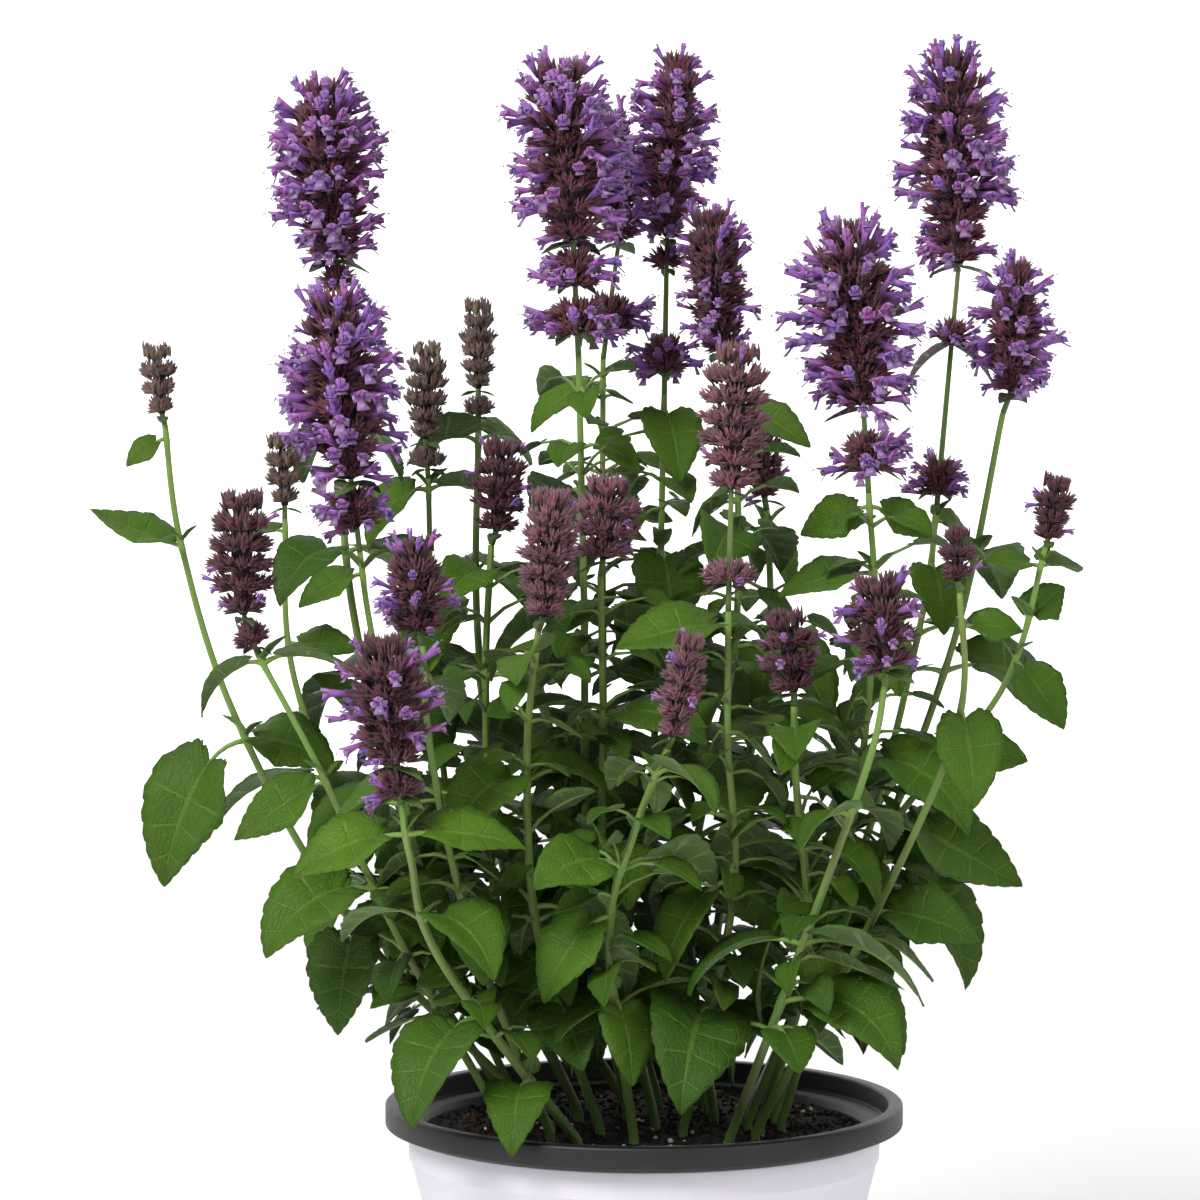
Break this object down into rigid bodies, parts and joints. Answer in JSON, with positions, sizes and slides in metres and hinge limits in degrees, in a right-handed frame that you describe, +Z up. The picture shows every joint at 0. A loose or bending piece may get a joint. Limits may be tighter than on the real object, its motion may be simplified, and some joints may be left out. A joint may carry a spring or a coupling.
{
  "type": "potted flowering plant",
  "caption": "Potted giant hyssop: square leafy stems with toothed leaves and violet, dark and faded flower spikes, in a black grow pot hung in a white cover pot.",
  "frame": {"origin": "middle of the cover pot's flat base", "axes": "+Z up along the plant, +X to the viewer's right and +Y away from the viewer"},
  "size_m": [0.3633, 0.2341, 0.519],
  "materials": {
    "white_pot": "satin white moulded plastic",
    "black_pot": "matte black moulded plastic",
    "peat_soil": "moist peat soil with perlite",
    "leaf_and_stem": "living leaf and stem, satin upper side, paler under side",
    "violet_flowers": "open violet flowers in maroon calyces",
    "dusky_flowers": "violet flowers among dark calyces",
    "dark_flowers": "dark calyces with flowers not yet open",
    "faded_flowers": "faded calyces, flowers dropped",
    "flower_buds": "closed green-brown buds"
  },
  "bodies": {
    "root": {"cover_pot": "white_pot", "grow_pot": "black_pot", "soil": "peat_soil", "stem_01": "leaf_and_stem", "head_01": "violet_flowers", "stem_02": "leaf_and_stem", "head_02": "violet_flowers", "stem_03": "leaf_and_stem", "head_03": "flower_buds", "stem_04": "leaf_and_stem", "head_04": "dark_flowers", "stem_05": "leaf_and_stem", "head_05": "flower_buds", "stem_06": "leaf_and_stem", "head_06": "flower_buds", "stem_07": "leaf_and_stem", "head_07": "violet_flowers", "stem_08": "leaf_and_stem", "head_08": "violet_flowers", "stem_09": "leaf_and_stem", "head_09": "violet_flowers", "stem_10": "leaf_and_stem", "head_10": "dusky_flowers", "stem_11": "leaf_and_stem", "head_11": "faded_flowers", "stem_12": "leaf_and_stem", "head_12": "violet_flowers", "stem_13": "leaf_and_stem", "head_13": "violet_flowers", "stem_14": "leaf_and_stem", "head_14": "violet_flowers", "stem_15": "leaf_and_stem", "head_15": "dark_flowers", "stem_16": "leaf_and_stem", "head_16": "dark_flowers", "stem_17": "leaf_and_stem", "head_17": "dusky_flowers", "stem_18": "leaf_and_stem", "head_18": "dark_flowers", "stem_19": "leaf_and_stem", "head_19": "faded_flowers", "stem_20": "leaf_and_stem", "head_20": "faded_flowers", "stem_21": "leaf_and_stem", "head_21": "dark_flowers", "stem_22": "leaf_and_stem", "head_22": "dusky_flowers", "stem_23": "leaf_and_stem", "head_23": "dusky_flowers", "stem_24": "leaf_and_stem", "head_24": "dark_flowers", "stem_25": "leaf_and_stem", "head_25": "flower_buds", "stem_26": "leaf_and_stem", "head_26": "faded_flowers"}
  },
  "joints": []
}
